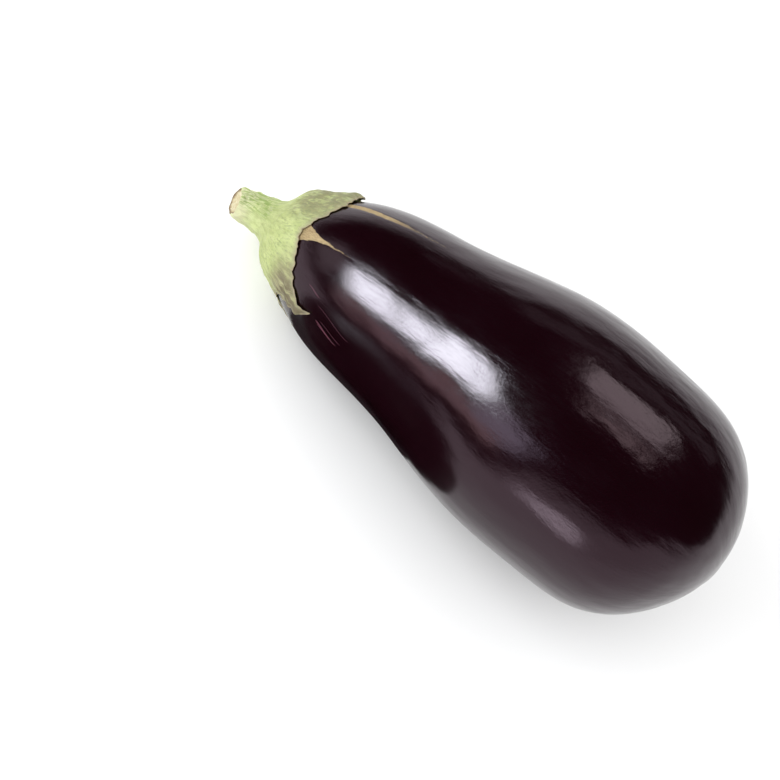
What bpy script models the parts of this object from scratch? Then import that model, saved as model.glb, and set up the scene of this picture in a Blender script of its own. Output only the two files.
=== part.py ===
"""An eggplant as picked, lying on its side: the fruit, the calyx that caps its neck and the cut stem.

The row frame has +Z up and +X from the stem towards the blossom end. Its origin is under the middle of
the whole object, on the surface that it lies on. Sizes are millimetres until a mesh is written.

Points on the fruit have two angles. "turn" runs from 0 at the crown, under the calyx, to pi at the
blossom end. "around" runs round the axis: 0 is the top, and a quarter turn is the far side, +Y.
"""

from math import asin, atan2, cos, pi, radians, sin

import bmesh
import bpy
import numpy as np
from mathutils import Matrix, Vector

MM = 0.001
GAP = 0.35  # between neighbouring pieces, which touch on the real thing

# Fruit
FRUIT_LENGTH = 195.0  # crown to blossom end
# Radius at equal steps of turn, from the crown to the blossom end.
FRUIT_RADII = np.array((0.0, 12.5, 23.4, 31.4, 35.9, 43.4, 46.0, 44.8, 36.9, 19.6, 0.0))
SIDE_BEND = 6.0  # how strongly the axis bows towards +Y, most of all near the blossom end
CROWN_HEIGHT = 22.8
CROWN_SLOPE = 0.25  # rise of the axis per length at the crown
DROOP = 0.0005  # how fast that rise is lost along the axis
RIB_COUNT = 5  # soft ridges on the neck, which fade out on the belly
RIB_SHARE = 0.010  # their height, as a share of the radius
FRUIT_ROWS, FRUIT_COLUMNS = 44, 56

# Calyx: five lobes, each as (around of its tip, distance of the tip from the crown), and the notches
# between them, each after the lobe of the same place in the list.
LOBE_TIPS = ((64, 23.0), (123, 30.0), (181, 32.0), (238, 38.0), (281, 31.0))
LOBE_NOTCHES = ((93, 15.5), (153, 17.0), (208, 16.0), (257, 14.0), (346, 13.0))
SPIKE_SHARE = 0.4  # how much of a lobe's length is its narrow point
CALYX_THICK, CALYX_RIM = 3.0, 0.8
COLLAR_RADIUS, COLLAR_HEIGHT = 8.3, 3.0  # the top of the calyx, where the stem starts
FLARE_REACH = 0.5  # turn, in radians, over which the collar runs out into the cap
SIDE_COLUMNS = 7  # columns of faces on each side of a lobe
CAP_ROWS = 11  # rows of faces from the collar's middle to the rim, and back underneath

# Stem: a curved, tapered stalk, cut off square.
STEM_LENGTH = 14.0
STEM_RADIUS, STEM_CUT_RADIUS = 8.0, 5.3
STEM_LIFT = 2.0  # how far its cut end curves up out of the line of the axis
STEM_SIDE = 3.0  # and how far it curves towards -Y
STEM_ROWS, STEM_COLUMNS = 12, 24


def sine_terms(values):
    """Weights of the sines whose sum passes through these values, spaced evenly over a half turn."""
    steps = len(values) - 1
    orders = np.arange(1, steps)
    waves = np.sin(pi * np.outer(orders, np.arange(steps + 1)) / steps)
    return orders, 2 / steps * waves @ values


RADIUS_ORDERS, RADIUS_WEIGHTS = sine_terms(FRUIT_RADII)


def fruit_radius(turn):
    return float(RADIUS_WEIGHTS @ np.sin(RADIUS_ORDERS * turn))


def fruit_radius_slope(turn):
    return float((RADIUS_WEIGHTS * RADIUS_ORDERS) @ np.cos(RADIUS_ORDERS * turn))


def station(turn):
    """Distance along the axis from the crown."""
    return FRUIT_LENGTH * (1 - cos(turn)) / 2


def turn_at(distance):
    return asin(distance * 2 / FRUIT_LENGTH - 1) + pi / 2


def axis_frame(along):
    """A point of the bent axis, with its directions: forward, up and to the far side."""
    share = along / FRUIT_LENGTH
    middle = Vector((
        along,
        SIDE_BEND * share * (1 - share**2),
        CROWN_HEIGHT + CROWN_SLOPE * along - DROOP * along**2,
    ))
    forward = Vector((
        1.0,
        SIDE_BEND * (1 - 3 * share**2) / FRUIT_LENGTH,
        CROWN_SLOPE - 2 * DROOP * along,
    )).normalized()
    side = Vector((0, 0, 1)).cross(forward).normalized()
    return middle, forward, forward.cross(side), side


def round_axis(along, radius, around):
    middle, _, up, side = axis_frame(along)
    return middle + radius * (cos(around) * up + sin(around) * side)


def on_fruit(turn, around, lift=0.0):
    """A point of the fruit's surface, or one that stands lift millimetres outside it."""
    fade = sin(turn) * (1 + cos(turn)) / 2
    ribs = 1 + RIB_SHARE * fade * cos(RIB_COUNT * around)
    slope = Vector((FRUIT_LENGTH * sin(turn) / 2, fruit_radius_slope(turn)))
    outward = Vector((-slope.y, slope.x)).normalized()
    along = station(turn) + lift * outward.x
    return round_axis(along, fruit_radius(turn) * ribs + lift * outward.y, around)


def calyx_columns():
    """The angle round the axis and the turn of the rim for each column of faces on the calyx."""
    columns = []
    notch_before = (LOBE_NOTCHES[-1][0] - 360, LOBE_NOTCHES[-1][1])
    for tip, notch_after in zip(LOBE_TIPS, LOBE_NOTCHES):
        rising = [step / SIDE_COLUMNS for step in range(SIDE_COLUMNS)]
        falling = [1 - share for share in rising]
        for notch, shares in ((notch_before, rising), (notch_after, falling)):
            for share in shares:
                spread = 1 - (1 - share) ** 1.4
                point = (1 - SPIKE_SHARE) * spread**1.8 + SPIKE_SHARE * spread**8
                around = radians(notch[0] + (tip[0] - notch[0]) * spread)
                columns.append((around, turn_at(notch[1] + (tip[1] - notch[1]) * point)))
        notch_before = notch_after
    return columns


def calyx_point(row, around, rim_turn):
    """Row 0 is the middle of the collar's top, CAP_ROWS the rim, and twice CAP_ROWS the middle below."""
    if row > CAP_ROWS:
        return on_fruit(rim_turn * (2 - row / CAP_ROWS), around, GAP)
    if row == 0:
        return round_axis(-COLLAR_HEIGHT, 0.0, around)
    if row == 1:
        return round_axis(-COLLAR_HEIGHT, COLLAR_RADIUS, around)
    share = (row - 1) / (CAP_ROWS - 1)
    turn = rim_turn * share
    thickness = CALYX_THICK + (CALYX_RIM - CALYX_THICK) * share**3
    cap = on_fruit(turn, around, GAP + thickness)
    flare = max(0.0, 1 - turn / FLARE_REACH) ** 2
    collar = round_axis(-COLLAR_HEIGHT, COLLAR_RADIUS, around)
    return cap.lerp(collar, flare)


def stem_point(row, around):
    """Row 0 is the middle of the base, STEM_ROWS the middle of the cut end."""
    share = min(max((row - 1) / (STEM_ROWS - 2), 0.0), 1.0)
    radius = 0.0
    if 0 < row < STEM_ROWS:
        radius = STEM_RADIUS + (STEM_CUT_RADIUS - STEM_RADIUS) * share**0.6
    reach = -COLLAR_HEIGHT - GAP - STEM_LENGTH * share
    start, forward, up, side = axis_frame(-COLLAR_HEIGHT - GAP)
    bow = share**2
    middle = start + (reach + COLLAR_HEIGHT + GAP) * forward
    middle += STEM_LIFT * bow * up - STEM_SIDE * bow * side
    back = -STEM_LENGTH * forward + 2 * share * (STEM_LIFT * up - STEM_SIDE * side)
    across = up.cross(back).normalized()
    return middle + radius * (cos(around) * back.cross(across).normalized() - sin(around) * across)


def wrap(name, rows, columns, place, material):
    """A closed skin: a UV sphere whose vertices go to place(row, column). The end rows are its poles."""
    mesh = bpy.data.meshes.new(name)
    shape = bmesh.new()
    bmesh.ops.create_uvsphere(shape, u_segments=columns, v_segments=rows, radius=1.0)
    for vertex in shape.verts:
        row = round(rows * atan2(Vector(vertex.co.xy).length, vertex.co.z) / pi)
        column = round(columns * atan2(vertex.co.y, vertex.co.x) / (2 * pi)) % columns
        vertex.co = place(row, column) * MM
    bmesh.ops.recalc_face_normals(shape, faces=shape.faces)
    shape.to_mesh(mesh)
    shape.free()
    mesh.shade_smooth()
    mesh.materials.append(material)
    piece = bpy.data.objects.new(name, mesh)
    bpy.context.scene.collection.objects.link(piece)
    return piece


def plain_material(name, colour, roughness):
    material = bpy.data.materials.new(name)
    material.use_nodes = True
    surface = material.node_tree.nodes["Principled BSDF"]
    surface.inputs["Base Color"].default_value = (*colour, 1.0)
    surface.inputs["Roughness"].default_value = roughness
    surface.inputs["Metallic"].default_value = 0.0
    return material


def flatten_underside(piece):
    """Cuts off what would lie below the floor, which leaves the small flat spot that the fruit rests on."""
    shape = bmesh.new()
    shape.from_mesh(piece.data)
    cut = bmesh.ops.bisect_plane(
        shape,
        geom=[*shape.verts, *shape.edges, *shape.faces],
        dist=1e-6,
        plane_co=(0, 0, 0),
        plane_no=(0, 0, -1),
        clear_outer=True,
    )
    edges = [found for found in cut["geom_cut"] if isinstance(found, bmesh.types.BMEdge)]
    bmesh.ops.contextual_create(shape, geom=edges)
    bmesh.ops.recalc_face_normals(shape, faces=shape.faces)
    shape.to_mesh(piece.data)
    shape.free()


def centre_over_origin(pieces):
    """Moves the object sideways, until the middle of its box is over the origin."""
    places = np.array([vertex.co for piece in pieces for vertex in piece.data.vertices])
    middle = (places.min(axis=0) + places.max(axis=0)) / 2
    for piece in pieces:
        piece.data.transform(Matrix.Translation((-middle[0], -middle[1], 0)))


def make_fruit():
    def place(row, column):
        return on_fruit(pi * row / FRUIT_ROWS, 2 * pi * column / FRUIT_COLUMNS)

    skin = plain_material("aubergine_skin", (0.012, 0.003, 0.008), 0.2)
    fruit = wrap("fruit", FRUIT_ROWS, FRUIT_COLUMNS, place, skin)
    flatten_underside(fruit)
    return fruit


def make_calyx():
    columns = calyx_columns()

    def place(row, column):
        return calyx_point(row, *columns[column])

    green = plain_material("calyx_green", (0.36, 0.45, 0.17), 0.6)
    return wrap("calyx", 2 * CAP_ROWS, len(columns), place, green)


def make_stem():
    def place(row, column):
        return stem_point(row, 2 * pi * column / STEM_COLUMNS)

    green = plain_material("stem_green", (0.42, 0.55, 0.20), 0.55)
    return wrap("stem", STEM_ROWS, STEM_COLUMNS, place, green)


def main():
    for found in list(bpy.data.objects):
        bpy.data.objects.remove(found)
    centre_over_origin([make_fruit(), make_calyx(), make_stem()])


main()
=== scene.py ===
"""The looks of a dark, glossy eggplant: its skin with corky scars, its leathery calyx and its cut stem.

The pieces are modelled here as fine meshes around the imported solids, in the same frame. Sizes are
millimetres until a mesh is written. A place on the object has two numbers, as on the solids: "along",
the distance along the bent axis from the fruit's crown, under the calyx, and "around", the angle round
that axis, which is 0 at the top and a quarter turn on the far side, +Y. Colours are in linear light.
"""

from math import cos, pi, radians, sin, tan

import bmesh
import bpy
import numpy as np
from mathutils import Matrix, Vector, noise


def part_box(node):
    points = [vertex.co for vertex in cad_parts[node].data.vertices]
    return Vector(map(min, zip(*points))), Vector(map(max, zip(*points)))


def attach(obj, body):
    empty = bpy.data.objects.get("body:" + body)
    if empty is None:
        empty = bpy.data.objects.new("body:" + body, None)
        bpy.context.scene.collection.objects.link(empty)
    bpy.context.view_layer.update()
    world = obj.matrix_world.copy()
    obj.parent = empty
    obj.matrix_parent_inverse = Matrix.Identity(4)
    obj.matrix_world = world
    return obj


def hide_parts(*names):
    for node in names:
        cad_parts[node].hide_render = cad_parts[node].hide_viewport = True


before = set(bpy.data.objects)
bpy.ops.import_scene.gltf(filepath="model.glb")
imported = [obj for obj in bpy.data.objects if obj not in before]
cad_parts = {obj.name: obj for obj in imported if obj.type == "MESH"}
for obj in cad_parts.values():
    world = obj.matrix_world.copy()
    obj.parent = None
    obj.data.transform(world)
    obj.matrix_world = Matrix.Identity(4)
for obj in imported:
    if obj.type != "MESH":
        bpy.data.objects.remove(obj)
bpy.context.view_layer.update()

MM = 0.001

# The fruit's driving dimensions, the same as the solid's.
FRUIT_LENGTH = 195.0
FRUIT_RADII = np.array((0.0, 12.5, 23.4, 31.4, 35.9, 43.4, 46.0, 44.8, 36.9, 19.6, 0.0))
SIDE_BEND = 6.0
CROWN_HEIGHT = 22.8
CROWN_SLOPE = 0.25
DROOP = 0.0005
RIB_COUNT = 5
RIB_SHARE = 0.010

# Skin. The places on it are given in degrees from the middle of its lit side, between the top and the
# near side, and its grid closes on itself underneath.
SKIN_ROWS, SKIN_COLUMNS = 320, 276
FACE_AROUND = -27.0
SEAM_DEGREES = -153.0
BARE_FROM, BARE_TO = 16.0, 60.0  # where the neck comes out from the calyx, and where it is all bare
WIDE_LUMPS, MIDDLE_LUMPS, LONG_LUMPS = 0.2, 0.14, 0.10  # heights of the skin's three sizes of lumps
NECK_SWELLING = 0.8
SCAR_DEPTH = 0.12
BLOSSOM_DIMPLE, BLOSSOM_RING = 0.9, 0.35
FAR_FROM_BLOSSOM = 60.0

# Two corky scars start under the calyx. The wedge narrows to a point at WEDGE_END. The streak is long and
# thin, and turns aside a little before STREAK_STRAIGHT.
WEDGE_END, WEDGE_LENGTH = 33.0, 20.0
WEDGE_MIDDLE = 7.5
WEDGE_FLARE, WEDGE_TAPER = 9.0, 1.3
STREAK_MIDDLE = 52.2
STREAK_STRAIGHT, STREAK_TURN = 33.0, 0.3
STREAK_START, STREAK_HALF, STREAK_TAPER = 19.0, 3.8, 0.10

# Faint scratches on the near side: from and to along, degrees at each end, half width, and strength.
SCRATCHES = (
    (25.8, 31.5, -25.0, -27.0, 0.35, 0.28),
    (32.5, 48.0, -32.0, -37.0, 0.25, 0.15),
    (34.4, 42.1, -42.0, -45.0, 0.6, 0.30),
    (35.5, 44.6, -43.5, -46.0, 0.35, 0.28),
    (36.0, 46.0, -40.0, -43.0, 0.3, 0.16),
)

# Outline of the stalk: (along, radius) from the cut end of the stem to the shoulder of the calyx, and on
# down the calyx where nothing cuts it off.
STALK_OUTLINE = (
    (-17.0, 5.3), (-13.0, 5.8), (-9.0, 6.5), (-6.0, 7.2), (-3.0, 8.4), (-1.4, 9.7), (0.0, 11.5),
    (1.4, 13.6), (3.4, 15.8), (6.5, 18.2), (10.0, 20.2), (14.0, 22.6), (18.0, 24.7), (24.0, 27.8),
    (30.0, 30.2), (42.0, 33.0),
)
COLLAR_ALONG = -3.0
STEM_LENGTH = 14.0
STEM_LIFT, STEM_SIDE = 2.0, 3.0
STEM_ROWS, STEM_COLUMNS = 40, 120
CUT_SLANT = 0.14  # how steeply the cut face leans towards the lit side
CUT_RINGS = (0.0, 0.25, 0.5, 0.7, 0.82, 0.9, 0.96)  # rings of points on the cut face, as shares of its radius
STEM_RIB, CALYX_RIB = 0.9, 0.5
WART_HEIGHT = 1.6
FOLD_HEIGHT, CREASE_DEPTH = 1.5, 0.7

# Edge of the calyx, as (around, along): five lobes, and the notches between them.
CALYX_RIM = (
    (-19, 12.2), (-4, 13.9), (12, 17.0), (29, 18.2), (44, 18.4), (55, 18.9), (62, 19.1), (68, 18.4),
    (78, 16.6), (93, 15.2), (105, 17.0), (115, 22.5), (123, 29.5), (131, 22.5), (141, 17.5), (153, 15.8),
    (165, 18.0), (174, 24.5), (181, 31.0), (188, 24.0), (197, 18.0), (206, 15.5), (215, 19.5),
    (221, 27.0), (225, 36.5), (229, 26.0), (236, 18.0), (252, 14.4), (268, 16.0), (276, 20.0),
    (280.5, 25.5), (284, 31.5), (287, 26.0), (293, 21.7), (306, 17.9), (318, 15.5), (329, 13.1),
)
RIM_STEPS = 12  # columns of faces between two points of that edge
CAP_ROWS, UNDER_ROWS = 56, 26
CALYX_GAP = 0.35
RIM_THICK = 0.30
LOBE_MIDDLES = (61, 123, 181, 225, 283)
TOP_LOBE, NEAR_LOBE = 60, 284
# How the other lobes stand off the skin: (around, width in degrees, height, share of their length where
# that starts).
LOBE_LIFTS = ((123, 9.0, 0.5, 0.6), (181, 8.0, 0.6, 0.5), (225, 8.0, 0.6, 0.78), (283, 7.0, 0.5, 0.7))
# Where the lobes have dried: (around, width in degrees, along where that starts, and where it is complete).
DRY_LOBES = ((NEAR_LOBE, 26.0, 7, 16), (228, 30.0, 8, 16))
TIP_SWIRL = 11.0  # degrees by which the tip of the near lobe has turned aside
EDGE_WOBBLE = 4.0
DEEP_INSIDE = 20.0  # stands for a place far from the calyx's edge
OFF_THE_CUT = 2.0  # stands for a place beyond the cut face

PURPLE, PURPLE_LIGHT = (0.0040, 0.0002, 0.0009), (0.0080, 0.0006, 0.0024)
CORK, CORK_DARK = (0.42, 0.325, 0.155), (0.26, 0.18, 0.08)
SCRATCH_PINK = (0.34, 0.13, 0.19)
BLOSSOM_BROWN, BLOSSOM_DARK = (0.135, 0.09, 0.053), (0.055, 0.035, 0.024)
GREEN, GREEN_DARK = (0.47, 0.525, 0.215), (0.38, 0.435, 0.165)
STEM_PALE, STEM_CREAM = (0.68, 0.76, 0.35), (0.84, 0.82, 0.54)
OLIVE, OLIVE_BROWN = (0.24, 0.23, 0.11), (0.095, 0.075, 0.035)
SPECK_GREEN, STREAK_OLIVE = (0.26, 0.30, 0.13), (0.22, 0.21, 0.10)
# Painted shade and light for the stem's warts: a darker green for the pits, a paler one for the bumps.
PIT_SHADE_GREEN, BUMP_LIGHT_PALE = (0.26, 0.38, 0.075), (0.42, 0.48, 0.24)
DRY_TAN, DRY_BROWN = (0.33, 0.295, 0.17), (0.13, 0.10, 0.055)
RIM_OLIVE, RIM_TAN = (0.30, 0.275, 0.16), (0.33, 0.275, 0.165)
PITH, PITH_DARK, CUT_BROWN = (0.62, 0.57, 0.38), (0.47, 0.38, 0.20), (0.20, 0.13, 0.065)
PAPER = (0.92, 0.92, 0.92)
# Dark of the flag that stands in for the other fruit, and of the flat sheet of painted shade on the floor.
FLAG_AND_SHADE_CLOTH = (0.05, 0.028, 0.036)
SKIN_TINT = (1.0, 0.72, 0.87)

# The photo's camera, as found by laying the solids' outline over it.
CAMERA_PLACE = (-7.0, 63.0, 49.2)
CAMERA_TARGET = Vector((-20.0, -31.5, 45.0)) * MM
CAMERA_DISTANCE = 0.634
CAMERA_LENS = 85.0

# Soft boxes that only the surfaces mirror: (name, (azimuth, elevation, roll), width and height in degrees
# as seen from the object, radiance, colour). The photo's highlights give their places.
LIGHT_CENTRE = Vector((0.0, 0.0, 0.045))
LIGHT_DISTANCE = 1.2
MIRRORED_BOXES = (
    ("key_box", (-53.9, 37.4, -30.0), 25.0, 16.5, 38.0, (0.73, 1.0, 0.93)),
    ("key_edge", (-21.0, 33.0, 0.0), 20.0, 18.0, 3.1, (0.80, 0.90, 1.0)),
    ("warm_card", (-32.0, 19.0, 0.0), 30.0, 9.0, 2.6, (1.0, 0.80, 0.74)),
    ("left_card", (-76.0, 19.0, 0.0), 30.0, 22.0, 1.2, (0.95, 1.0, 0.96)),
    ("top_box", (178.0, 60.0, 0.0), 20.0, 26.0, 3.2, (0.95, 1.0, 0.92)),
    ("top_card", (168.0, 84.0, 0.0), 12.0, 10.0, 2.6, (1.0, 0.97, 0.88)),
    ("back_card", (177.0, 31.0, 0.0), 60.0, 10.0, 0.35, (1.0, 1.0, 1.0)),
    ("floor_glint", (7.5, 4.0, 0.0), 8.0, 8.0, 6.0, (0.92, 1.0, 1.0)),
)
# The one box that lights the surfaces, from the same side as the key box, and isn't mirrored.
KEY_GLOW = ("key_glow", (-57.8, 38.0, -30.0), 46.0, 20.0, 4.8, (0.97, 0.98, 1.0))

# The white surroundings: how much light they give, and what the skin mirrors of them, low down and above.
WORLD_LIGHT = 1.18
WORLD_SHINE, WORLD_DARK = 1.0, 0.02
FRONT_WHITE, BACK_WHITE = 27.0, 9.0  # degrees above the horizon to which the mirrored white reaches
FRONT_BEGINS, FRONT_ENDS = (-12.0, 2.0), (55.0, 100.0)  # azimuths between which it sets in, and fades out
BACK_BEGINS = (125.0, 150.0)  # the same behind the object, on either side

# What the other fruit does in the photo: (name, middle, half its sizes, how it is turned in degrees).
DARK_FLAGS = (
    ("dark_flag", (-60.0, -93.0, 8.0), (88.0, 44.0, 52.0), 30.0),
    # The flat one is painted shade: a dark sheet on the floor where it lies in shadow between the two fruits,
    # seen only in reflections.
    ("painted_floor_shade", (-38.0, -43.0, 0.5), (42.0, 31.0, 0.4), 25.0),
)
FLOOR_REACH = 8.0  # metres


def sine_terms(values):
    """Weights of the sines whose sum passes through these values, spaced evenly over a half turn."""
    steps = len(values) - 1
    orders = np.arange(1, steps)
    waves = np.sin(pi * np.outer(orders, np.arange(steps + 1)) / steps)
    return orders, 2 / steps * waves @ values


RADIUS_ORDERS, RADIUS_WEIGHTS = sine_terms(FRUIT_RADII)


def fruit_radius(turn):
    return np.sin(np.multiply.outer(turn, RADIUS_ORDERS)) @ RADIUS_WEIGHTS


def fruit_radius_slope(turn):
    return np.cos(np.multiply.outer(turn, RADIUS_ORDERS)) @ (RADIUS_WEIGHTS * RADIUS_ORDERS)


def station(turn):
    """Distance along the axis from the crown. turn runs from 0 there to pi at the blossom end."""
    return FRUIT_LENGTH * (1 - np.cos(turn)) / 2


def turn_at(along):
    return np.arccos(1 - 2 * np.clip(along / FRUIT_LENGTH, 0, 1))


def unit(vectors):
    return vectors / np.linalg.norm(vectors, axis=-1, keepdims=True)


def smooth(values, start, end):
    """Rises smoothly from 0 at start to 1 at end."""
    share = np.clip((values - start) / (end - start), 0, 1)
    return share * share * (3 - 2 * share)


def hill(distance, reach):
    return np.exp(-((distance / reach) ** 2))


def off_degrees(degrees, middle):
    """How far round each angle is from the middle, from -180 to 180."""
    return (degrees - middle + 180) % 360 - 180


def lobe_hill(degrees, middle, reach):
    return hill(off_degrees(degrees, middle), reach)


def through(points, at):
    """A smooth curve through points of (place, value), read at some places."""
    places, values = np.array(points, dtype=float).T
    slopes = np.gradient(values, places)
    cell = np.clip(np.searchsorted(places, at) - 1, 0, len(places) - 2)
    width = places[cell + 1] - places[cell]
    t = np.clip((at - places[cell]) / width, 0, 1)
    rise = values[cell + 1] - values[cell]
    bend = t * (1 - t) * ((slopes[cell] * width - rise) * (1 - t) - (slopes[cell + 1] * width - rise) * t)
    return values[cell] + rise * t + bend


def lumps(points, size, seed):
    """Noise of about -0.5 to 0.5 at each point, with lumps of that size. size may differ by direction."""
    flat = (points / np.array(size)).reshape(-1, 3) + seed * 17.3
    values = [noise.noise(Vector(point)) for point in flat]
    return np.array(values).reshape(points.shape[:-1])


def axis_frame(along):
    """Points of the bent axis, and its directions: forward, up and to the far side. The axis goes on up the
    stem, and bends with it."""
    share = along / FRUIT_LENGTH
    middle = np.stack((
        along,
        SIDE_BEND * share * (1 - share**2),
        CROWN_HEIGHT + CROWN_SLOPE * along - DROOP * along**2,
    ), axis=-1)
    forward = unit(np.stack((
        np.ones_like(along),
        SIDE_BEND * (1 - 3 * share**2) / FRUIT_LENGTH,
        CROWN_SLOPE - 2 * DROOP * along,
    ), axis=-1))
    side = unit(np.cross((0.0, 0.0, 1.0), forward))
    up = np.cross(forward, side)
    bow = np.maximum(COLLAR_ALONG - along, 0)[..., None] / STEM_LENGTH
    aside = STEM_LIFT * up - STEM_SIDE * side
    forward = unit(forward - 2 * bow / STEM_LENGTH * aside)
    side = unit(np.cross(up, forward))
    return middle + bow**2 * aside, forward, np.cross(forward, side), side


def round_axis(along, radius, around):
    along, radius, around = np.broadcast_arrays(along, radius, around)
    middle, _, up, side = axis_frame(along.astype(float))
    outward = np.cos(around)[..., None] * up + np.sin(around)[..., None] * side
    return middle + radius[..., None] * outward


def on_fruit(turn, around, lift=0.0):
    """Points of the fruit's surface, or ones that stand lift millimetres outside it."""
    fade = np.sin(turn) * (1 + np.cos(turn)) / 2
    ribs = 1 + RIB_SHARE * fade * np.cos(RIB_COUNT * around)
    slope = np.stack((FRUIT_LENGTH * np.sin(turn) / 2, fruit_radius_slope(turn)), axis=-1)
    slope = unit(slope)
    along = station(turn) - lift * slope[..., 1]
    return round_axis(along, fruit_radius(turn) * ribs + lift * slope[..., 0], around)


def wrap(name, points, marks, origin):
    """A closed mesh through a grid of points, whose first and last rows are its poles.

    marks are attributes: for each name, a grid of values with one column more than the points have, so
    that a value may jump where the grid closes on itself.
    """
    rows, columns = points.shape[0] - 1, points.shape[1]
    vertices = np.concatenate((points[:1, 0], points[1:-1].reshape(-1, 3), points[-1:, 0]))
    row, column = np.meshgrid(np.arange(rows), np.arange(columns), indexing="ij")
    corner_rows = np.stack((row, row + 1, row + 1, row), axis=-1).reshape(-1, 4)
    corner_columns = np.stack((column, column, column + 1, column + 1), axis=-1).reshape(-1, 4)
    numbers = 1 + (corner_rows - 1) * columns + corner_columns % columns
    numbers[corner_rows == 0] = 0
    numbers[corner_rows == rows] = len(vertices) - 1
    kept = np.ones(numbers.shape, dtype=bool)
    kept[:columns, 3] = False
    kept[-columns:, 2] = False
    faces = [tuple(face[keep]) for face, keep in zip(numbers, kept)]
    mesh = bpy.data.meshes.new(name)
    mesh.from_pydata((vertices + origin) * MM, [], faces)
    for mark, values in marks.items():
        found = values[corner_rows[kept], corner_columns[kept]]
        kind, field = ("FLOAT_VECTOR", "vector") if values.ndim == 3 else ("FLOAT", "value")
        attribute = mesh.attributes.new(mark, kind, "CORNER")
        attribute.data.foreach_set(field, found.astype(np.float32).ravel())
    mesh.shade_smooth()
    piece = bpy.data.objects.new(name, mesh)
    bpy.context.scene.collection.objects.link(piece)
    return piece


def make_skin():
    """The fruit. Its mark "place" is (along, degrees round from the middle of the lit side, distance from the
    middle of the blossom end)."""
    turn = np.linspace(0, pi, SKIN_ROWS + 1)[:, None]
    degrees = np.linspace(SEAM_DEGREES, SEAM_DEGREES + 360, SKIN_COLUMNS + 1)[None, :]
    around = np.radians(degrees + FACE_AROUND)
    plain = on_fruit(turn, around[:, :-1])
    low, high = (np.array(corner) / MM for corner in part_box("fruit"))
    middle = (plain.min(axis=(0, 1)) + plain.max(axis=(0, 1))) / 2
    origin = (low + high) / 2 - middle
    origin[2] = 0.0
    near_blossom = smooth(turn, 2.0, 3.0)
    from_blossom = fruit_radius(turn) * near_blossom + FAR_FROM_BLOSSOM * (1 - near_blossom)
    points = on_fruit(turn, around[:, :-1], skin_lift(plain, station(turn), degrees[:, :-1], from_blossom))
    points[..., 2] = np.maximum(points[..., 2], 0.0)
    place = np.stack(np.broadcast_arrays(station(turn), degrees, from_blossom), axis=-1)
    return wrap("fruit_skin", points, {"place": place}, origin), origin


def skin_lift(plain, along, degrees, from_blossom):
    """How far the skin stands outside the plain fruit: its lumps, the neck's swelling and its scars."""
    bare = smooth(along, BARE_FROM, BARE_TO)
    lumpy = bare * (WIDE_LUMPS * lumps(plain, 42.0, 1) + MIDDLE_LUMPS * lumps(plain, 19.0, 2))
    lumpy = lumpy + (0.3 + 0.7 * bare) * LONG_LUMPS * lumps(plain, (14.0, 5.0, 5.0), 3)
    swelling = NECK_SWELLING * hill(along - 58.0, 18.0) * hill(degrees + 8.0, 36.0)
    scars = SCAR_DEPTH * np.maximum(*scar_masks(*np.broadcast_arrays(along, degrees)))
    blossom = BLOSSOM_DIMPLE * hill(from_blossom, 3.2) - BLOSSOM_RING * hill(from_blossom - 5.0, 1.6)
    return lumpy + swelling - scars - blossom


def scar_masks(along, degrees):
    """How far inside the wedge and the streak a place is, from 0 outside to 1."""
    left = np.clip((WEDGE_END - along) / WEDGE_LENGTH, 0, 1.2)
    half = WEDGE_FLARE * left**4 + WEDGE_TAPER * left
    wedge = smooth(half - np.abs(degrees - WEDGE_MIDDLE), -0.8, 1.2)
    middle = STREAK_MIDDLE + STREAK_TURN * np.maximum(STREAK_STRAIGHT - along, 0)
    half = STREAK_HALF - STREAK_TAPER * (along - STREAK_START)
    streak = smooth(half - np.abs(degrees - middle), -0.8, 1.2)
    return wedge * (along > 1), streak * (along > 1)


def stalk_radius(along, around, points):
    """Radius of the stem and the calyx, where nothing cuts it off, with its ribs, folds and lumps."""
    degrees = np.degrees(around)
    down = smooth(along, -3.0, 9.0)
    ribs = sum(lobe_hill(degrees, middle, 22.0 - 12.0 * down) for middle in LOBE_MIDDLES)
    radius = through(STALK_OUTLINE, along)
    radius = radius + (STEM_RIB * (1 - down) + CALYX_RIB * down) * (ribs - 0.45)
    rough = 0.5 + 0.5 * down
    radius = radius + 0.9 * rough * lumps(points, 6.0, 4) + 0.45 * lumps(points, 2.4, 5)
    upper = lobe_hill(degrees, 20, 48.0) * (1 - smooth(along, -4.0, 1.0))
    warts = upper * np.maximum(lumps(points, 2.6, 6) - 0.08, 0)
    fold = hill(degrees - 48, 20.0) * smooth(along, -1.5, 3.5) * (1 - smooth(along, 15, 22))
    crease = hill(degrees - 14, 9.0) * hill(along - 8.0, 6.0)
    return radius + WART_HEIGHT * warts + FOLD_HEIGHT * fold - CREASE_DEPTH * crease


def rim_gap(share):
    """Clearance between the skin and the calyx, which opens towards the calyx's edge."""
    return CALYX_GAP * 0.4 + 0.35 * smooth(share, 0.75, 1.0)


def lobe_swirl(along, degrees, rim):
    """How far the lobes have turned aside, in radians: the near one's tip, and all a little raggedly."""
    tip = lobe_hill(degrees, NEAR_LOBE, 9.0) * smooth(rim, 25, 27)
    tip = tip * (np.maximum(along - 24.5, 0) / 7.0) ** 2
    flat = np.stack(np.broadcast_arrays(along, 0.45 * degrees, 0.0), axis=-1)
    wobble = smooth(along, 12, 20) * lumps(flat, 2.4, 11)
    return np.radians(TIP_SWIRL * tip + EDGE_WOBBLE * wobble)


def lobe_lift(share, degrees):
    """How far the lobes stand off the skin. The top one rises early, and hooks down at its tip."""
    hook = 1.7 * smooth(share, 0.55, 0.88) - 0.9 * smooth(share, 0.92, 1.0)
    lift = lobe_hill(degrees, TOP_LOBE, 13.0) * hook
    for middle, reach, height, start in LOBE_LIFTS:
        lift = lift + height * lobe_hill(degrees, middle, reach) * smooth(share, start, 1.0)
    return lift


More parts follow.
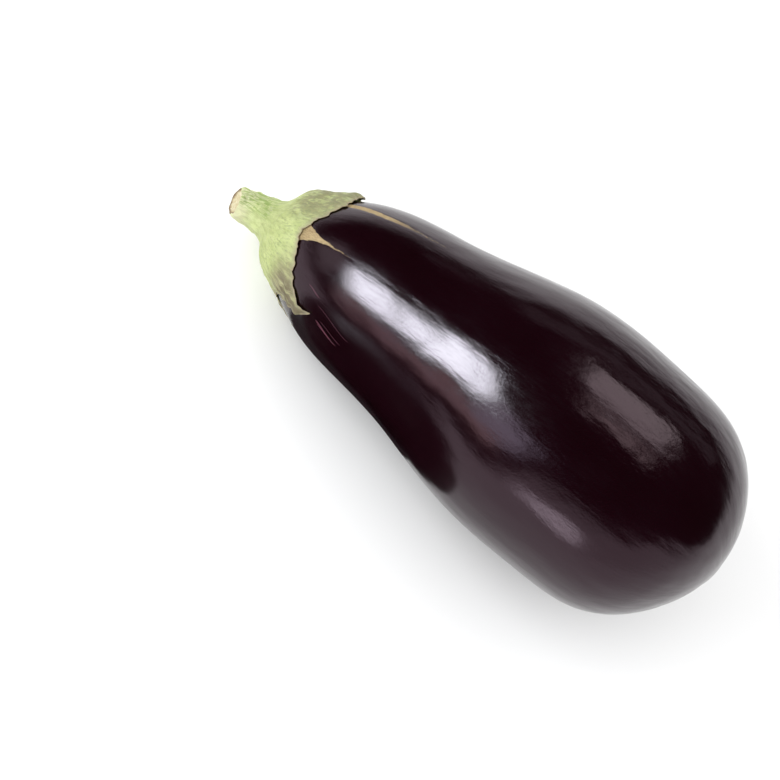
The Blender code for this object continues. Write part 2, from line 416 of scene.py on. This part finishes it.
def calyx_edge():
    """The angle round the axis, in degrees, and the rim's place along it, for each column of points."""
    first, second, last = CALYX_RIM[0], CALYX_RIM[1], CALYX_RIM[-1]
    angles = [*(point[0] for point in CALYX_RIM), first[0] + 360]
    steps = np.arange(len(CALYX_RIM) * RIM_STEPS + 1) / RIM_STEPS
    degrees = through(list(enumerate(angles)), steps)[None, :]
    ring = [
        (last[0] - 360, last[1]),
        *CALYX_RIM,
        (first[0] + 360, first[1]),
        (second[0] + 360, second[1]),
    ]
    around = np.radians(degrees)
    on_ring = np.stack((30 * np.cos(around), 30 * np.sin(around), 0 * around), axis=-1)
    return degrees, through(ring, degrees) + 0.9 * lumps(on_ring, 2.6, 7) + 0.5 * lumps(on_ring, 1.1, 8)


def make_calyx(origin):
    """The cap. Its marks: "place" is (along, degrees round, distance from the rim), "dry" is 0 to 1."""
    degrees, rim = calyx_edge()
    around = np.radians(degrees)
    share = np.linspace(0, 1, CAP_ROWS)[:, None]
    along = COLLAR_ALONG + (rim - COLLAR_ALONG) * share
    skin_radius = fruit_radius(turn_at(along))
    shell = round_axis(along, through(STALK_OUTLINE, along), around)
    free = stalk_radius(along, around, shell) - skin_radius - CALYX_GAP
    least = RIM_THICK + 0.7 * lobe_hill(degrees, TOP_LOBE, 14.0)
    thick = np.maximum(free * (1 - 0.72 * share**4), least)
    curl = lobe_lift(share, degrees)
    swirl = around + lobe_swirl(along, degrees, rim)
    outer = skin_radius + CALYX_GAP + thick + curl
    inside = skin_radius + rim_gap(share) + curl
    top = round_axis(np.full_like(rim, COLLAR_ALONG + 0.4), np.zeros_like(rim), around)
    cap = round_axis(along, outer, swirl)
    lip = round_axis(along[-1:] + 0.12, (outer[-1:] + inside[-1:]) / 2, swirl[-1:])
    under_turn = turn_at(rim) * np.linspace(1, 0, UNDER_ROWS)[:-1, None]
    under_along = station(under_turn)
    deep = (under_along - COLLAR_ALONG) / (rim - COLLAR_ALONG)
    under_swirl = around + lobe_swirl(under_along, degrees, rim)
    under = on_fruit(under_turn, under_swirl, rim_gap(deep) + lobe_lift(deep, degrees))
    crown = round_axis(np.full_like(rim, -CALYX_GAP), np.zeros_like(rim), around)
    points = np.concatenate((top, cap, lip, under, crown))[:, :-1]
    inner = np.full_like(rim, DEEP_INSIDE)
    from_rim = np.concatenate((inner, rim - along, 0 * rim, rim - under_along, inner))
    all_along = np.concatenate((0 * rim + COLLAR_ALONG, along, rim, under_along, 0 * rim))
    place = np.stack(np.broadcast_arrays(all_along, degrees, from_rim), axis=-1)
    dry = sum(
        lobe_hill(degrees, middle, reach) * smooth(all_along, start, end)
        for middle, reach, start, end in DRY_LOBES
    )
    return wrap("calyx_cap", points, {"place": place, "dry": np.clip(dry, 0, 1)}, origin)


def make_stem(origin):
    """The stalk, from the middle of its cut end. Its marks are as on the calyx, but "place" ends with how
    far out on the cut face a place is, 0 to 1."""
    degrees = np.linspace(0, 360, STEM_COLUMNS + 1)[None, :]
    around = np.radians(degrees)
    end = COLLAR_ALONG - STEM_LENGTH
    along = np.linspace(end, COLLAR_ALONG, STEM_ROWS)[:, None] + 0 * around
    slant = CUT_SLANT * np.cos(around - radians(FACE_AROUND))
    shell = round_axis(along, through(STALK_OUTLINE, along), around)
    radius = stalk_radius(along, around, shell) - 0.5 * hill(along - end, 0.5)
    side = round_axis(along + radius * slant * (1 - smooth(along, end, end + 8)), radius, around)
    face = np.array(CUT_RINGS)[:, None] + 0 * around
    flat = round_axis(end + 0 * face, radius[:1] * face, around)
    dish = 0.5 * (1 - face**3) + 0.35 * lumps(flat, 1.6, 9) * (face > 0) + 0.25 * hill(face - 0.8, 0.1)
    cut = round_axis(end + dish + radius[:1] * face * slant, radius[:1] * face, around)
    cut[0] = cut[0, :1]
    base = round_axis(np.full_like(around, COLLAR_ALONG - 0.3), 0 * around, around)
    points = np.concatenate((cut, side, base))[:, :-1]
    out = np.concatenate((face, 0 * along + OFF_THE_CUT, 0 * around + OFF_THE_CUT))
    all_along = np.concatenate((end + 0 * face, along, 0 * around + COLLAR_ALONG))
    place = np.stack(np.broadcast_arrays(all_along, degrees, out), axis=-1)
    return wrap("stem_ribbed", points, {"place": place, "dry": 0 * out}, origin)


class Nodes:
    """Adds nodes to a tree. Their inputs may be numbers, colours or outputs of other nodes."""

    def __init__(self, tree):
        self.nodes = tree.nodes
        self.links = tree.links

    def put(self, socket, value):
        if isinstance(value, bpy.types.NodeSocket):
            self.links.new(value, socket)
        elif socket.type == "RGBA":
            socket.default_value = (*value, 1.0)
        else:
            socket.default_value = value

    def node(self, kind, inputs, **settings):
        made = self.nodes.new(kind)
        for name, value in settings.items():
            setattr(made, name, value)
        for key, value in inputs.items():
            self.put(made.inputs[key], value)
        return made

    def maths(self, operation, *values):
        return self.node("ShaderNodeMath", dict(enumerate(values)), operation=operation).outputs[0]

    def times(self, first, second):
        return self.maths("MULTIPLY", first, second)

    def rise(self, value, low, high, bottom=0.0, top=1.0):
        """Goes smoothly from bottom to top as the value goes from low to high."""
        return self.node("ShaderNodeMapRange", {
            "Value": value, "From Min": low, "From Max": high, "To Min": bottom, "To Max": top,
        }, interpolation_type="SMOOTHSTEP").outputs[0]


class Shade(Nodes):
    """The nodes of one material, and its colour as painted so far."""

    def __init__(self, name):
        self.material = bpy.data.materials.new(name)
        self.material.use_nodes = True
        super().__init__(self.material.node_tree)
        self.surface = self.nodes["Principled BSDF"]
        self.colour = None

    def surface_put(self, **values):
        """Sets the surface's inputs, whose names are written here with _ for a space."""
        for name, value in values.items():
            self.put(self.surface.inputs[name.replace("_", " ")], value)

    def place(self):
        """The three values of the mark "place"."""
        mark = self.node("ShaderNodeAttribute", {}, attribute_name="place")
        return self.node("ShaderNodeSeparateXYZ", {0: mark.outputs["Vector"]}).outputs

    def mark(self, name):
        return self.node("ShaderNodeAttribute", {}, attribute_name=name).outputs["Fac"]

    def grain(self, vector, size, detail=3.0, roughness=0.55):
        """Noise from 0 to 1, with features of that size: one number, or one for each direction."""
        scale = tuple(1 / part for part in size) if isinstance(size, tuple) else (1 / size,) * 3
        scaled = self.node("ShaderNodeVectorMath", {0: vector, 1: scale}, operation="MULTIPLY").outputs[0]
        return self.node("ShaderNodeTexNoise", {
            "Vector": scaled, "Scale": 1.0, "Detail": detail, "Roughness": roughness,
        }).outputs["Fac"]

    def blend(self, share, first, second):
        mixed = self.node("ShaderNodeMix", {0: share, 6: first, 7: second}, data_type="RGBA")
        return mixed.outputs[2]

    def paint(self, share, colour):
        """Covers the colour so far with another one, by that share."""
        self.colour = self.blend(share, self.colour, colour)

    def bump(self, height, depth, normal=None):
        """A bump of that depth in metres where the height goes from 0 to 1."""
        inputs = {"Height": height, "Distance": depth, "Strength": 1.0}
        if normal is not None:
            inputs["Normal"] = normal
        return self.node("ShaderNodeBump", inputs).outputs[0]

    def round_vector(self, along, degrees, radius):
        """A vector in millimetres that follows the surface, with its first part along the axis."""
        turned = self.maths("RADIANS", degrees)
        return self.node("ShaderNodeCombineXYZ", {
            0: along,
            1: self.times(self.maths("COSINE", turned), radius),
            2: self.times(self.maths("SINE", turned), radius),
        }).outputs[0]


def corky_scars(shade, along, degrees, grains, wander):
    """The share of cork at a place: the wedge, and the streak, which breaks up towards its end."""
    here = shade.maths("ADD", degrees, wander)
    left = shade.maths("SUBTRACT", WEDGE_END, along)
    left = shade.maths("MAXIMUM", shade.maths("DIVIDE", left, WEDGE_LENGTH), 0.0)
    half = shade.times(shade.maths("POWER", left, 4.0), WEDGE_FLARE)
    half = shade.maths("ADD", half, shade.times(left, WEDGE_TAPER))
    off = shade.maths("ABSOLUTE", shade.maths("SUBTRACT", here, WEDGE_MIDDLE))
    wedge = shade.rise(shade.maths("SUBTRACT", half, off), -0.15, 0.35)
    wedge = shade.times(wedge, shade.rise(along, WEDGE_END + 0.5, WEDGE_END - 1.0))

    before = shade.maths("MAXIMUM", shade.maths("SUBTRACT", STREAK_STRAIGHT, along), 0.0)
    middle = shade.maths("ADD", STREAK_MIDDLE, shade.times(before, STREAK_TURN))
    taper = shade.times(shade.maths("SUBTRACT", along, STREAK_START), STREAK_TAPER)
    off = shade.maths("ABSOLUTE", shade.maths("SUBTRACT", here, middle))
    streak = shade.rise(shade.maths("SUBTRACT", shade.maths("SUBTRACT", STREAK_HALF, taper), off), -0.2, 0.5)
    broken = shade.times(shade.rise(along, 30.0, 48.0), shade.rise(grains, 0.62, 0.45))
    streak = shade.times(streak, shade.maths("SUBTRACT", 1.0, broken))
    return shade.maths("MAXIMUM", wedge, streak)


def fine_scratches(shade, along, degrees, wander):
    """The share of scratched skin at a place."""
    found = None
    for start, end, from_degrees, to_degrees, reach, strength in SCRATCHES:
        line = shade.rise(along, start, end, from_degrees, to_degrees)
        off = shade.maths("ADD", shade.maths("SUBTRACT", degrees, line), shade.times(wander, 0.12))
        off = shade.maths("ABSOLUTE", off)
        begun = shade.rise(along, start - 0.6, start + 0.8)
        left = shade.rise(along, end + 0.6, end - 0.8)
        scratch = shade.times(shade.rise(off, reach, reach * 0.3), shade.times(begun, left))
        scratch = shade.times(scratch, strength)
        found = scratch if found is None else shade.maths("MAXIMUM", found, scratch)
    return found


def skin_material():
    """Nearly black purple, waxy and glossy, with fine fibres, two corky scars and a few scratches."""
    shade = Shade("aubergine_skin_deep")
    along, degrees, from_blossom = shade.place()
    skin = shade.round_vector(along, degrees, 38.0)
    fibres = shade.grain(skin, (5.0, 0.7, 0.7), 4.0, 0.6)
    grains = shade.grain(skin, (0.9, 0.5, 0.5), 3.0, 0.6)
    clouds = shade.grain(skin, (34.0, 16.0, 16.0), 3.0, 0.5)
    wander = shade.grain(skin, (2.5, 0.8, 0.8), 3.0)
    wander = shade.times(shade.maths("SUBTRACT", wander, 0.5), 3.2)
    scars = corky_scars(shade, along, degrees, grains, wander)
    scratches = fine_scratches(shade, along, degrees, wander)
    ragged = shade.times(shade.maths("SUBTRACT", grains, 0.5), 2.0)
    blossom_scar = shade.rise(shade.maths("ADD", from_blossom, ragged), 3.6, 2.6)

    shade.colour = shade.blend(clouds, PURPLE, PURPLE_LIGHT)
    shade.paint(scars, shade.blend(shade.rise(grains, 0.35, 0.68), CORK, CORK_DARK))
    shade.paint(scratches, SCRATCH_PINK)
    shade.paint(blossom_scar, shade.blend(shade.rise(grains, 0.35, 0.65), BLOSSOM_BROWN, BLOSSOM_DARK))

    dull = shade.maths("MAXIMUM", scars, shade.times(scratches, 0.7))
    dull = shade.maths("MAXIMUM", dull, blossom_scar)
    rough = shade.rise(fibres, 0.3, 0.75, 0.12, 0.18)
    rough = shade.maths("ADD", rough, shade.rise(clouds, 0.3, 0.7, -0.02, 0.03))
    rough = shade.maths("ADD", rough, shade.times(dull, 0.45))

    # The swells are up to three times as high on the upper belly, where the photo's highlight is uneven.
    uneven = shade.times(shade.rise(along, 95.0, 125.0), shade.rise(along, 182.0, 160.0))
    uneven = shade.times(uneven, shade.rise(degrees, -25.0, 0.0))
    uneven = shade.maths("ADD", 1.0, shade.times(uneven, 2.0))
    swells = shade.times(shade.grain(skin, (11.0, 5.0, 5.0), 2.0, 0.5), uneven)
    relief = shade.bump(swells, 0.00010)
    relief = shade.bump(fibres, 0.00004, relief)
    relief = shade.bump(grains, 0.00003, relief)
    relief = shade.bump(shade.times(scars, shade.maths("ADD", 0.6, grains)), 0.00022, relief)
    shade.surface_put(Base_Color=shade.colour, Roughness=rough, Normal=relief)
    shade.surface_put(IOR=1.45, Specular_Tint=SKIN_TINT)
    return shade.material


def green_material(name):
    """Pale green flesh of the calyx and the stem: mottled, with a dry tan edge and dry brown streaks."""
    shade = Shade(name)
    along, degrees, from_edge = shade.place()
    flesh = shade.round_vector(along, degrees, 20.0)
    mottle = shade.grain(flesh, (4.2, 3.0, 3.0), 4.0, 0.65)
    specks = shade.grain(flesh, (1.0, 0.75, 0.75), 3.0, 0.7)
    streaks = shade.grain(flesh, (9.0, 1.1, 1.1), 4.0, 0.6)
    pits = shade.grain(flesh, (2.8, 2.0, 2.0), 2.0, 0.5)

    def towards(middle, low, high):
        """1 near the middle angle and 0 away from it. low and high are cosines of the angle between."""
        off = shade.maths("RADIANS", shade.maths("SUBTRACT", degrees, middle))
        return shade.rise(shade.maths("COSINE", off), low, high)

    shade.colour = shade.blend(shade.rise(mottle, 0.38, 0.66), GREEN, GREEN_DARK)
    pale = shade.times(shade.rise(along, 3.0, -9.0), shade.rise(mottle, 0.62, 0.35, 0.45, 1.0))
    shade.paint(pale, STEM_PALE)
    shade.paint(shade.rise(along, -8.0, -17.0, 0.0, 0.75), STEM_CREAM)
    fold = shade.times(towards(42.0, 0.45, 0.95), shade.rise(along, 0.5, 6.0))
    shade.paint(shade.times(fold, shade.rise(mottle, 0.34, 0.56, 0.3, 1.0)), OLIVE)
    shade.paint(shade.times(shade.times(fold, shade.rise(specks, 0.50, 0.64)), 0.8), OLIVE_BROWN)
    speckled = shade.times(shade.rise(specks, 0.50, 0.66), shade.rise(along, -1.0, 7.0, 0.25, 0.75))
    shade.paint(speckled, SPECK_GREEN)
    shade.paint(shade.times(shade.rise(streaks, 0.55, 0.75), 0.3), STREAK_OLIVE)
    # Painted shade in the warts' pits and painted light on their bumps, on the stem's upper side.
    upper = shade.times(towards(15.0, 0.35, 0.9), shade.rise(along, -1.0, -4.5))
    shade.paint(shade.times(upper, shade.rise(pits, 0.51, 0.42, 0.1, 0.85)), PIT_SHADE_GREEN)
    shade.paint(shade.times(upper, shade.rise(pits, 0.56, 0.66)), BUMP_LIGHT_PALE)
    dry = shade.mark("dry")
    shade.paint(shade.times(dry, 0.75), DRY_TAN)
    shade.paint(shade.times(dry, shade.rise(streaks, 0.36, 0.55, 0.1, 0.9)), DRY_BROWN)
    near = shade.maths("ADD", from_edge, shade.times(shade.maths("SUBTRACT", specks, 0.5), 2.0))
    shade.paint(shade.rise(near, 2.4, 0.4, 0.0, 0.6), RIM_OLIVE)
    shade.paint(shade.rise(near, 0.55, 0.2), RIM_TAN)

    relief = shade.bump(mottle, 0.0010)
    relief = shade.bump(specks, 0.00032, relief)
    relief = shade.bump(streaks, 0.00015, relief)
    rough = shade.rise(mottle, 0.3, 0.7, 0.50, 0.64)
    shade.surface_put(Base_Color=shade.colour, Roughness=rough, Normal=relief, IOR=1.42)
    shade.surface_put(Subsurface_Weight=0.15, Subsurface_Radius=(0.6, 0.8, 0.3), Subsurface_Scale=0.002)
    return shade.material


def cut_material():
    """The cut end of the stem: cream pith inside a brown rim."""
    shade = Shade("stem_cut_dry")
    along, degrees, out = shade.place()
    disc = shade.round_vector(along, degrees, shade.times(out, STALK_OUTLINE[0][1]))
    pith = shade.grain(disc, 1.1, 4.0, 0.6)
    shade.colour = shade.blend(shade.rise(pith, 0.35, 0.65), PITH, PITH_DARK)
    ragged = shade.times(shade.maths("SUBTRACT", pith, 0.5), 0.18)
    shade.paint(shade.rise(shade.maths("ADD", out, ragged), 0.80, 0.95), CUT_BROWN)
    shade.surface_put(Base_Color=shade.colour, Roughness=0.8, Normal=shade.bump(pith, 0.0003))
    return shade.material


def make_floor():
    mesh = bpy.data.meshes.new("studio_floor")
    far = FLOOR_REACH
    mesh.from_pydata([(-far, -far, 0), (far, -far, 0), (far, far, 0), (-far, far, 0)], [], [(0, 1, 2, 3)])
    paper = Shade("studio_paper")
    paper.surface_put(Base_Color=PAPER, Roughness=0.9, Specular_IOR_Level=0.1)
    mesh.materials.append(paper.material)
    floor = bpy.data.objects.new("studio_floor", mesh)
    bpy.context.scene.collection.objects.link(floor)
    return floor


def direction(azimuth, elevation):
    """The direction from the object to what stands there, named as in the frame's views."""
    a, e = radians(azimuth), radians(elevation)
    return Vector((sin(a) * cos(e), -cos(a) * cos(e), sin(e)))


def facing(azimuth, elevation, roll, centre, distance):
    """The place and turn of a camera or light that looks at the centre from there, rolled by some degrees."""
    back = direction(azimuth, elevation)
    right = Vector((cos(radians(azimuth)), sin(radians(azimuth)), 0.0))
    up = back.cross(right)
    turn = radians(roll)
    right, up = right * cos(turn) + up * sin(turn), up * cos(turn) - right * sin(turn)
    placed = Matrix((right, up, back)).transposed().to_4x4()
    placed.translation = centre + back * distance
    return placed


def make_light(name, place, wide, high, radiance, colour, mirrored):
    """A soft box at (azimuth, elevation, roll), as wide and high as it looks from the object, in degrees.
    It is only mirrored by the surfaces, or only lights them."""
    light = bpy.data.lights.new(name, "AREA")
    light.shape = "RECTANGLE"
    light.size = 2 * LIGHT_DISTANCE * tan(radians(wide / 2))
    light.size_y = 2 * LIGHT_DISTANCE * tan(radians(high / 2))
    light.energy = radiance * pi * light.size * light.size_y
    light.color = colour
    box = bpy.data.objects.new(name, light)
    box.matrix_world = facing(*place, LIGHT_CENTRE, LIGHT_DISTANCE)
    box.visible_camera = False
    box.visible_glossy = mirrored
    box.visible_diffuse = not mirrored
    bpy.context.scene.collection.objects.link(box)


def make_dark_flags():
    """Ellipsoids that keep the white floor out of the skin of the neck's near side. The tall one stands in
    for the other fruit. The flat one on the floor is painted shade: a dark sheet where the floor lies in
    shadow between the fruits. They show only where a surface mirrors them: the camera doesn't see them,
    and they cast no shadow."""
    cloth = Shade("flag_and_shade_cloth")
    cloth.surface_put(Base_Color=FLAG_AND_SHADE_CLOTH, Roughness=0.4)
    for name, middle, half, turned in DARK_FLAGS:
        mesh = bpy.data.meshes.new(name)
        shape = bmesh.new()
        bmesh.ops.create_uvsphere(shape, u_segments=48, v_segments=24, radius=1.0)
        shape.to_mesh(mesh)
        shape.free()
        mesh.shade_smooth()
        mesh.materials.append(cloth.material)
        flag = bpy.data.objects.new(name, mesh)
        flag.location = Vector(middle) * MM
        flag.rotation_euler = (0.0, 0.0, radians(turned))
        flag.scale = Vector(half) * MM
        flag.visible_camera = False
        flag.visible_diffuse = False
        flag.visible_shadow = False
        bpy.context.scene.collection.objects.link(flag)


def make_world():
    """White around the object, as the photo's paper. The skin mirrors white only low down, because the photo
    shows it dark above. Light sampling is off: it would mix the two."""
    world = bpy.data.worlds.new("studio")
    world.cycles.sampling_method = "NONE"
    bpy.context.scene.world = world
    world.use_nodes = True
    world.node_tree.nodes.clear()
    sky = Nodes(world.node_tree)
    toward = sky.node("ShaderNodeTexCoord", {}).outputs["Generated"]
    x, y, z = sky.node("ShaderNodeSeparateXYZ", {0: toward}).outputs
    azimuth = sky.maths("DEGREES", sky.maths("ARCTAN2", x, sky.times(y, -1.0)))
    height = sky.maths("DEGREES", sky.maths("ARCSINE", z))
    front = sky.rise(azimuth, *FRONT_BEGINS, 0.0, FRONT_WHITE)
    front = sky.times(front, sky.rise(azimuth, *FRONT_ENDS, 1.0, 0.0))
    back = sky.rise(sky.maths("ABSOLUTE", azimuth), *BACK_BEGINS, 0.0, BACK_WHITE)
    edge = sky.maths("MAXIMUM", front, back)
    white = sky.rise(sky.maths("SUBTRACT", height, edge), 4.0, -4.0)
    shine = sky.maths("ADD", sky.times(white, WORLD_SHINE), WORLD_DARK)
    all_round = sky.node("ShaderNodeBackground", {"Color": (1, 1, 1), "Strength": WORLD_LIGHT})
    mirrored = sky.node("ShaderNodeBackground", {"Color": (1, 1, 1), "Strength": shine})
    glossy = sky.node("ShaderNodeLightPath", {}).outputs["Is Glossy Ray"]
    mixed = sky.node("ShaderNodeMixShader", {0: glossy, 1: all_round.outputs[0], 2: mirrored.outputs[0]})
    sky.node("ShaderNodeOutputWorld", {"Surface": mixed.outputs[0]})


def make_camera():
    """The photo's view: down on the fruit, square to its axis, and rolled."""
    data = bpy.data.cameras.new("camera")
    data.lens = CAMERA_LENS
    data.sensor_width = 36.0
    data.clip_start, data.clip_end = 0.01, 50.0
    camera = bpy.data.objects.new("camera", data)
    camera.matrix_world = facing(*CAMERA_PLACE, CAMERA_TARGET, CAMERA_DISTANCE)
    bpy.context.scene.collection.objects.link(camera)
    bpy.context.scene.camera = camera


fruit_skin, shared_origin = make_skin()
calyx_cap = make_calyx(shared_origin)
stem_ribbed = make_stem(shared_origin)

fruit_skin.data.materials.append(skin_material())
calyx_cap.data.materials.append(green_material("calyx_mottled_green"))
stem_ribbed.data.materials.append(green_material("stem_pale_green"))
stem_ribbed.data.materials.append(cut_material())
for polygon in stem_ribbed.data.polygons[:len(CUT_RINGS) * STEM_COLUMNS]:
    polygon.material_index = 1
for piece in (calyx_cap, stem_ribbed):
    piece.data.set_sharp_from_angle(angle=radians(50))

for piece, node, slot in (
    (fruit_skin, "fruit", "skin"), (calyx_cap, "calyx", "calyx"), (stem_ribbed, "stem", "stem"),
):
    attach(piece, "root")
    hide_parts(node)

make_floor()
make_world()
for box in MIRRORED_BOXES:
    make_light(*box, mirrored=True)
make_light(*KEY_GLOW, mirrored=False)
make_dark_flags()
make_camera()
bpy.context.scene.view_settings.view_transform = "Standard"
